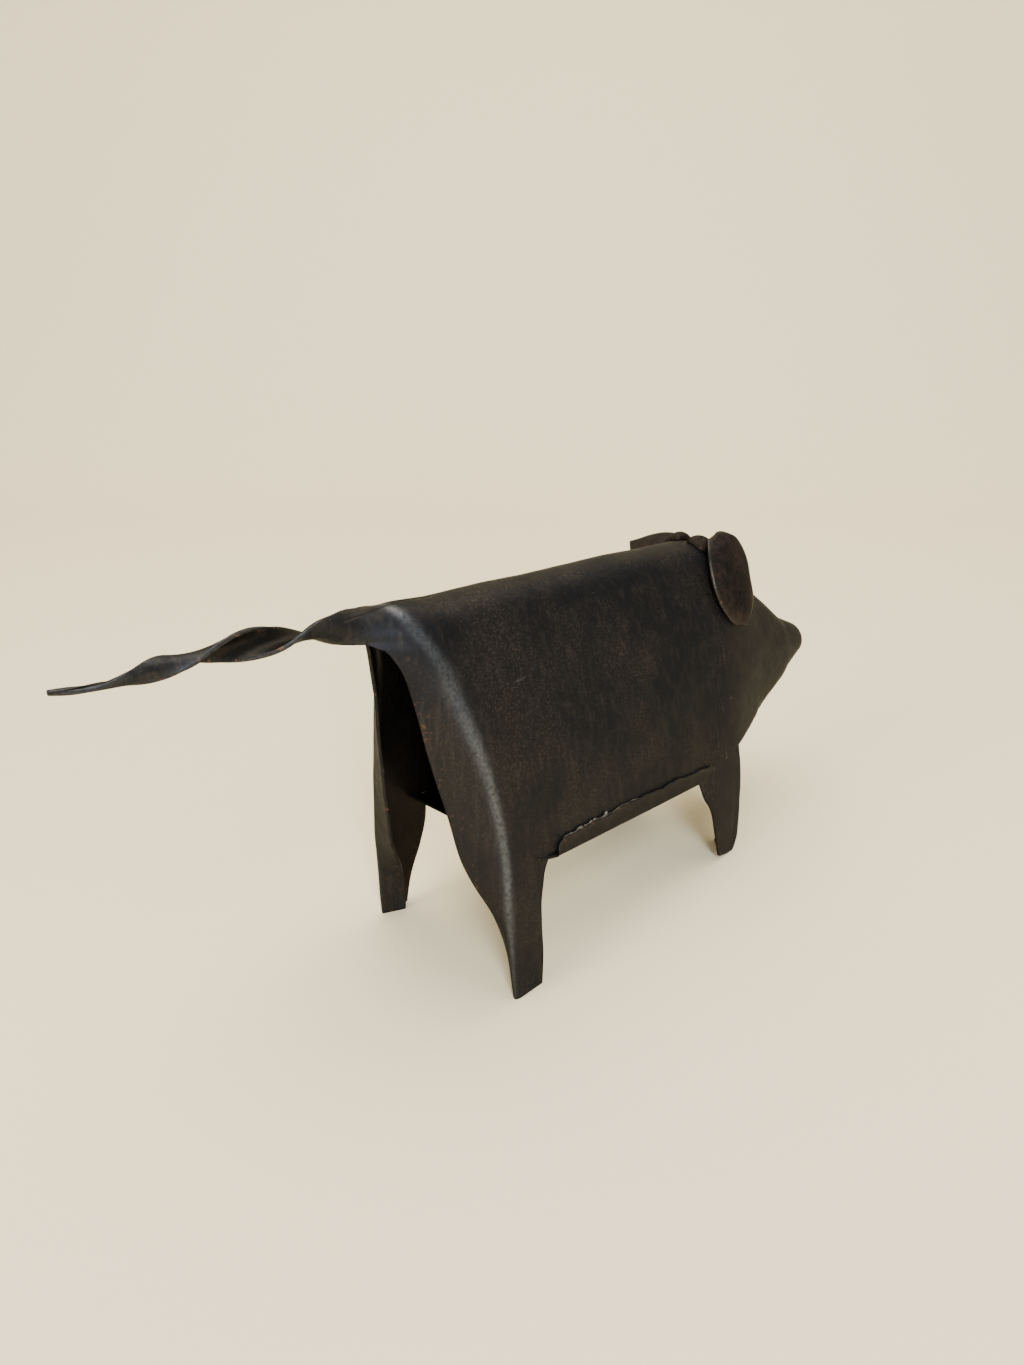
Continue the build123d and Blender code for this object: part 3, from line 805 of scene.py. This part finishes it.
def cushion(side):
    """A closed cushion on the crown: a ball flattened onto the arch, with a wavy outline, sunk in the sheet.

    The ball's sideways reach goes along and round the arch, and its height goes along the normal of the arch.
    """
    polar, angle = np.linspace(0, math.pi, 21)[:, None], np.linspace(0, 2 * math.pi, 49)[None, :]
    out = np.sin(polar) * (1 + 0.10 * np.sin(3 * angle + 1.0) + 0.06 * np.sin(5 * angle + 2.0))
    x = COLLAR_X + COLLAR_REACH * out * np.cos(angle)
    share = COLLAR_SHARE + COLLAR_SPREAD * out * np.sin(angle)
    low = belly_line(x)
    step_x, step_share = 0.1, 0.001
    along = arch_point(x + step_x, low, share) - arch_point(x - step_x, low, share)
    around = arch_point(x, low, share + step_share) - arch_point(x, low, share - step_share)
    normal = np.cross(along, around)
    normal /= np.linalg.norm(normal, axis=-1, keepdims=True)
    uneven = 1 + 0.12 * np.sin(x * 1.1) * np.sin(polar) ** 2
    height = np.cos(polar) * np.where(polar < math.pi / 2, COLLAR_HEIGHT, COLLAR_DEPTH) * uneven
    return (arch_point(x, low, share) + height[..., None] * normal) * [1, -side, 1]


plain_mark = np.zeros(2)
solder = {}
for side, name in ((-1, "right"), (1, "left")):
    seam = [(bead(side), plain_mark, side < 0)]
    solder[f"belly_solder_{name}"] = sheet_piece(f"lap_bead_{name}", seam, thickness=0)
    collar = [(cushion(side), plain_mark, side < 0)]
    solder[f"ear_solder_{name}"] = sheet_piece(f"neck_collar_{name}", collar, thickness=0)

# %% [markdown]
# ## Nose
# The snout is closed with a small oval plate, domed a little by the hammer. A profile of distance and
# rise, carried round an oval, makes its face, its rim and its flat back in one grid that closes at both
# poles.

# %% Domed nose disc
NOSE_HALF_WIDTH = 5.4
NOSE_HALF_HEIGHT = 5.8
NOSE_RISE = 0.35
NOSE_RIM = 0.65


def dome():
    """An oval disc that rises to its middle by a power of the distance, with a rim and a flat back."""
    out = np.concatenate([np.linspace(0, 1, 12), [1.0, 0.0]])[:, None]
    up = np.concatenate([NOSE_RISE * (1 - np.linspace(0, 1, 12) ** 2.4) + NOSE_RIM, [0.0, 0.0]])[:, None]
    angle = np.linspace(0, 2 * math.pi, 49)[None, :]
    y, z = NOSE_HALF_WIDTH * out * np.cos(angle), NOSE_HALF_HEIGHT * out * np.sin(angle)
    return np.stack([SNOUT_END + up + 0 * y, y, (SNOUT_TOP + CHIN) / 2 + z], axis=-1)


nose = sheet_piece("domed_nose", [(dome(), plain_mark, False)], thickness=0)

# %% [markdown]
# ## Materials
# Every finish here is iron or solder, so most differences are in the skin: how much black oxide, brown
# rust, wax and grey metal shows. Some colour stands in for light: a painted highlight along the folds, a
# painted reflection of the floor low on the iron, and painted shade on the inner side of the body.
# Colours are written as they look on a screen and turned to linear light by one function.

# %% Node helper
def linear(hex_colour):
    """Linear red, green, blue and alpha of an sRGB hex colour."""
    value = np.array([int(hex_colour[i : i + 2], 16) for i in (1, 3, 5)]) / 255
    value = np.where(value <= 0.04045, value / 12.92, ((value + 0.055) / 1.055) ** 2.4)
    return (*value.tolist(), 1.0)


def add(tree, kind, inputs=None, **settings):
    """Adds one node. Settings are its properties; an input is linked to an output or set to a plain value."""
    node = tree.nodes.new(kind)
    for key, value in settings.items():
        setattr(node, key, value)
    for key, value in (inputs or {}).items():
        if isinstance(value, bpy.types.NodeSocket):
            tree.links.new(value, node.inputs[key])
        else:
            node.inputs[key].default_value = value
    return node


def per_mm(size):
    """Texture scale, in repeats per metre, of a pattern whose grain is this many millimetres across."""
    return 1 / (size * MM)


def new_material(name):
    """An empty node material with its Principled shader joined to the output."""
    material = bpy.data.materials.new(name)
    material.use_nodes = True
    material.node_tree.nodes.clear()
    shader = add(material.node_tree, "ShaderNodeBsdfPrincipled")
    add(material.node_tree, "ShaderNodeOutputMaterial", {"Surface": shader.outputs[0]})
    return material, material.node_tree, shader


print("Mid grey on the screen is", round(linear("#808080")[0], 3), "in linear light")

# %% [markdown]
# ### Oxidised sheet iron
# Forged and hot-rolled sheet keeps a skin of black scale. Handling and old wax leave it satin, with brown
# rust freckles, fine upright streaks, and grey metal showing through where folds and cut edges get the
# most handling. Along the folds that grey is also a painted highlight, and towards the belly the colour
# is painted lighter as a reflection of the floor.

# %% Iron recipe
def spots(tree, place, size, low, high, full=1.0, detail=3.0):
    """Share of a noise with grains of this size: nothing below low, full above high.

    Full is a number, or the output of a node.
    """
    grains = {"Vector": place, "Scale": per_mm(size), "Detail": detail, "Roughness": 0.6}
    noise = add(tree, "ShaderNodeTexNoise", grains)
    return add(tree, "ShaderNodeMapRange", {0: noise.outputs[0], 1: low, 2: high, 4: full}).outputs[0]


def iron(name, black, brown, low, fleck, rust, bare_and_highlight, cloud, gloss):
    """Oxidised sheet iron: black scale clouded with brown under streaks, flecks, rust and grey metal, the
    grey also a painted highlight.

    Each coat is mixed over the one before by its own share. Low is the colour mixed in towards the
    belly, a painted reflection of the floor; cloud is the size of the clouds in millimetres, and gloss is
    the lowest roughness of iron without the wear mark.
    """
    material, tree, shader = new_material(name)
    place = add(tree, "ShaderNodeTexCoord").outputs["Object"]
    upright = add(tree, "ShaderNodeMapping", {0: place, 3: (1.0, 1.0, 0.1)}).outputs[0]
    slanted = add(tree, "ShaderNodeMapping", {0: place, 2: (0.3, 0.5, 0.0), 3: (0.06, 1.0, 1.0)}).outputs[0]
    forward, _, height = add(tree, "ShaderNodeSeparateXYZ", {0: place}).outputs
    # Wear together with the painted highlight of the folds
    worn = add(tree, "ShaderNodeAttribute", attribute_name="worn").outputs["Fac"]
    edge = add(tree, "ShaderNodeAttribute", attribute_name="edge").outputs["Fac"]
    clouds = spots(tree, place, cloud, 0.42, 0.60, detail=5.0)
    # Lighter towards the belly: a painted reflection of the floor
    under = add(tree, "ShaderNodeMapRange", {0: height, 1: 64 * MM, 2: 38 * MM, 4: 0.4}).outputs[0]
    streaks = spots(tree, upright, 1.5, 0.50, 0.72, 0.25)
    # The stern panels are handled most, so they have fewer specks than the flanks
    stern_to_flank = {0: forward, 1: -48 * MM, 2: -32 * MM, 3: 0.2, 4: 0.65}
    handled = add(tree, "ShaderNodeMapRange", stern_to_flank).outputs[0]
    patches = add(tree, "ShaderNodeMapRange", {0: clouds, 3: 0.08, 4: handled}).outputs[0]
    # Specks of rust are about a quarter of a millimetre; they are drawn in grains of 0.6 mm so that they show
    specks = spots(tree, place, 0.6, 0.50, 0.65, patches, 5.0)
    # Hairline scratches are a tenth of a millimetre; they are drawn several times as wide for the same reason
    hairlines = spots(tree, slanted, 0.6, 0.70, 0.78, 0.15)
    rusted = spots(tree, place, 1.6, 0.61, 0.70, edge)
    # Grey metal on folds and cut edges: partly polished by handling, partly a painted highlight along the
    # folds
    bright = add(tree, "ShaderNodeMapRange", {0: worn, 4: 0.24}).outputs[0]
    rubbed_and_highlight = spots(tree, place, 0.9, 0.15, 0.60, bright)
    coats = [(clouds, brown), (streaks, fleck), (specks, fleck), (under, low)]
    coats += [(hairlines, bare_and_highlight), (rusted, rust), (rubbed_and_highlight, bare_and_highlight)]
    colour = linear(black)
    for share, coat in coats:
        inputs = {0: share, 6: colour, 7: linear(coat)}
        colour = add(tree, "ShaderNodeMix", inputs, data_type="RGBA").outputs[2]
    tree.links.new(colour, shader.inputs["Base Color"])
    shader.inputs["Metallic"].default_value = 0.7
    # Scale and old wax scatter light even at a flat angle, so the rim of the metal's gloss is toned down
    shader.inputs["Specular Tint"].default_value = (0.2, 0.2, 0.2, 1.0)
    satin = spots(tree, place, 4.0, 0.3, 0.7)
    rough = add(tree, "ShaderNodeMapRange", {0: satin, 3: gloss, 4: gloss + 0.12}).outputs[0]
    polished = add(tree, "ShaderNodeMix", {0: worn, 2: rough, 3: 0.28}, data_type="FLOAT").outputs[0]
    tree.links.new(polished, shader.inputs["Roughness"])
    grain = add(tree, "ShaderNodeTexNoise", {0: place, "Scale": per_mm(0.8), "Detail": 4.0}).outputs[0]
    dents = add(tree, "ShaderNodeTexNoise", {0: place, "Scale": per_mm(7.0), "Detail": 2.0}).outputs[0]
    inputs = {"Height": dents, "Strength": 0.1, "Distance": 0.4 * MM}
    hammered = add(tree, "ShaderNodeBump", inputs).outputs[0]
    inputs = {"Height": grain, "Normal": hammered, "Strength": 0.25, "Distance": 0.1 * MM}
    tree.links.new(add(tree, "ShaderNodeBump", inputs).outputs[0], shader.inputs["Normal"])
    return material


# Waxed and handled: satin black with brown freckles, and grey on the folds, partly metal polished by hands
# and partly a painted highlight
body_iron = iron(
    "oxidised_sheet_iron", "#1c1d20", "#242322", "#262523", "#48403b", "#5c4231", "#8c9299",
    cloud=22, gloss=0.45,
)
# A darker copy of the iron for the inner side: painted shade of the hollow, nearly black but smooth enough to
# shine a little
painted_shade_iron = iron(
    "painted_shade_inner_iron", "#131312", "#1b1815", "#221d17", "#33291f", "#5c4231", "#6d6e6b",
    cloud=14, gloss=0.34,
)
# Out of reach of hands: a little browner and duller than the flanks
belly_iron = iron(
    "oxidised_belly_iron", "#201f1e", "#25221f", "#272622", "#3a332d", "#5e3f2c", "#6d6e6b",
    cloud=22, gloss=0.50,
)
# Small leaves beside the solder: browner than the body, in small clouds, with little gloss
ear_iron = iron(
    "browned_ear_iron", "#191817", "#2a2320", "#28231f", "#443730", "#64432f", "#6a655e",
    cloud=7, gloss=0.54,
)

# %% [markdown]
# ### Soft solder
# Tin and lead solder cools to a dull light grey with a slightly crystalline skin. On the belly seam it
# still shows grey; round the ears it has gone as brown as the iron, so the same recipe takes two pairs of
# colours.

# %% Solder recipe
def soft_solder(name, dark, light, metallic, lumpy):
    """Cast solder: two shades in grains of about a millimetre, fairly rough, with a lumpy skin."""
    material, tree, shader = new_material(name)
    place = add(tree, "ShaderNodeTexCoord").outputs["Object"]
    inputs = {0: spots(tree, place, 1.2, 0.38, 0.64), 6: linear(dark), 7: linear(light)}
    colour = add(tree, "ShaderNodeMix", inputs, data_type="RGBA").outputs[2]
    tree.links.new(colour, shader.inputs["Base Color"])
    shader.inputs["Metallic"].default_value = metallic
    shader.inputs["Roughness"].default_value = 0.55
    shader.inputs["Specular Tint"].default_value = (0.2, 0.2, 0.2, 1.0)
    lumps = add(tree, "ShaderNodeTexNoise", {0: place, "Scale": per_mm(1.5), "Detail": 3.0}).outputs[0]
    skin = add(tree, "ShaderNodeBump", {"Height": lumps, "Strength": lumpy, "Distance": 0.3 * MM})
    tree.links.new(skin.outputs[0], shader.inputs["Normal"])
    return material


# Dull light grey crumbs that catch the light
solder_grey = soft_solder("cold_soft_solder", "#4a4742", "#77746c", 0.8, 0.4)
# As dark as the iron, told from it only by its lumps
solder_brown = soft_solder("aged_soft_solder", "#1c1916", "#2c241d", 0.7, 0.15)
made = (body_iron, painted_shade_iron, belly_iron, ear_iron, solder_grey, solder_brown)
print("Finishes:", [material.name for material in made])

# %% [markdown]
# ## Join the pieces to the frame
# Each piece rides on the one rigid body, wears its material, and the CAD node it stands for is hidden.

# %% Ride, dress and hide the CAD node
finishes = [
    ("body_sheet", body, body_iron, "oxidised_iron"),
    ("belly_plate", belly, belly_iron, "belly_iron"),
    ("ear_right", hanging_ear, ear_iron, "ear_iron"),
    ("ear_left", standing_ear, ear_iron, "ear_iron"),
    ("nose_disc", nose, ear_iron, "ear_iron"),
]
for node_name, piece in solder.items():
    aged = node_name.startswith("ear")
    finish = (solder_brown, "aged_solder") if aged else (solder_grey, "solder")
    finishes.append((node_name, piece, *finish))
for node_name, piece, material, slot in finishes:
    piece.data.materials.append(material)
    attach(piece, "root")
    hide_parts(node_name)
# The inner side of the body takes the second, darker finish, whose darkness is painted shade of the hollow
body.data.materials.append(painted_shade_iron)
body.modifiers["Gauge"].material_offset = 1
print(len(finishes), "pieces joined to the frame")

# %% [markdown]
# ## Floor
# A pale sweep of paper serves as floor and backdrop: flat under the pig, then curving up, so no horizon
# line shows. It is a bent strip of faces, made by the same grid function as the pieces.

# %% Paper sweep
sweep_angle = np.linspace(0, math.pi / 2, 24)
forward = np.concatenate([[-1.6], 0.5 + 0.5 * np.sin(sweep_angle), [1.0]])
upward = np.concatenate([[0.0], 0.5 - 0.5 * np.cos(sweep_angle), [1.8]])
# The sweep faces the camera: ahead is the way it looks along the ground, aside is square to that
ahead, aside = np.array([0.719, 0.695]), np.array([0.695, -0.719])
width = np.array([-2.0, 2.0])[:, None]
ground = forward[None, :, None] * ahead + width[..., None] * aside
paper_points = np.concatenate([ground, np.broadcast_to(upward[None, :, None], (2, len(upward), 1))], axis=-1)
paper_mesh = bpy.data.meshes.new("paper")
paper_mesh.from_pydata(paper_points.reshape(-1, 3), [], grid_faces(2, len(upward), 0)[:, ::-1].tolist())
paper_mesh.polygons.foreach_set("use_smooth", np.ones(len(paper_mesh.polygons), dtype=bool))
paper = bpy.data.objects.new("paper", paper_mesh)
bpy.context.scene.collection.objects.link(paper)
paper_finish, _, shader = new_material("pale_matt_paper")
# Matt paper scatters its light widely, so it shows hardly any gloss
shader.inputs["Base Color"].default_value = linear("#f4e8c4")
shader.inputs["Roughness"].default_value = 0.9
paper_mesh.materials.append(paper_finish)
print("The paper rises", float(upward[-1]), "m behind the pig")

# %% [markdown]
# ## Light
# A tall soft light behind the camera, a little to its right, draws the long highlight on the fold. A weak
# one behind the pig fills the stern, a wide one overhead brightens the spine and the floor, and a pale
# room gives the rest.

# %% Soft lights
def soft_light(name, place, aim, size, watts, colour):
    """An area light of a width and height at a place in metres, turned to a point."""
    light = bpy.data.lights.new(name, "AREA")
    light.shape = "RECTANGLE"
    light.size, light.size_y = size
    light.energy, light.color = watts, linear(colour)[:3]
    lamp = bpy.data.objects.new(name, light)
    lamp.location = place
    lamp.rotation_euler = (Vector(aim) - Vector(place)).to_track_quat("-Z", "Y").to_euler()
    bpy.context.scene.collection.objects.link(lamp)


soft_light("window", (-0.74, -0.99, 0.64), (0, 0, 0.06), (0.26, 1.2), 28, "#f2f6ff")
soft_light("fill", (-1.1, 0.12, 0.55), (0, 0, 0.05), (0.5, 0.5), 8, "#fff3dc")
soft_light("ceiling", (0.25, 0.15, 1.5), (0, 0, 0), (1.4, 1.4), 30, "#fff6e8")
world = bpy.data.worlds.new("room")
world.use_nodes = True
world.node_tree.nodes["Background"].inputs[0].default_value = linear("#e2e1dc")
world.node_tree.nodes["Background"].inputs[1].default_value = 0.55
bpy.context.scene.world = world
print("Lights:", [light.name for light in bpy.data.lights])

# %% [markdown]
# ## Camera
# The camera stands where the photograph was taken from: behind the right hip and a little above it.
# Place, direction and lens were found from points of the pig that can be told apart in the photograph.

# %% Camera
camera = bpy.data.objects.new("camera", bpy.data.cameras.new("camera"))
camera.data.lens = 27.06
camera.data.sensor_width = 36.0
camera.location = (-0.1887, -0.1687, 0.165)
camera.rotation_euler = Vector((0.6693, 0.6463, -0.3665)).to_track_quat("-Z", "Y").to_euler()
camera.data.clip_start = 0.01
bpy.context.scene.collection.objects.link(camera)
bpy.context.scene.camera = camera
print("The camera is", round(camera.location.length, 3), "m from the origin on the floor")
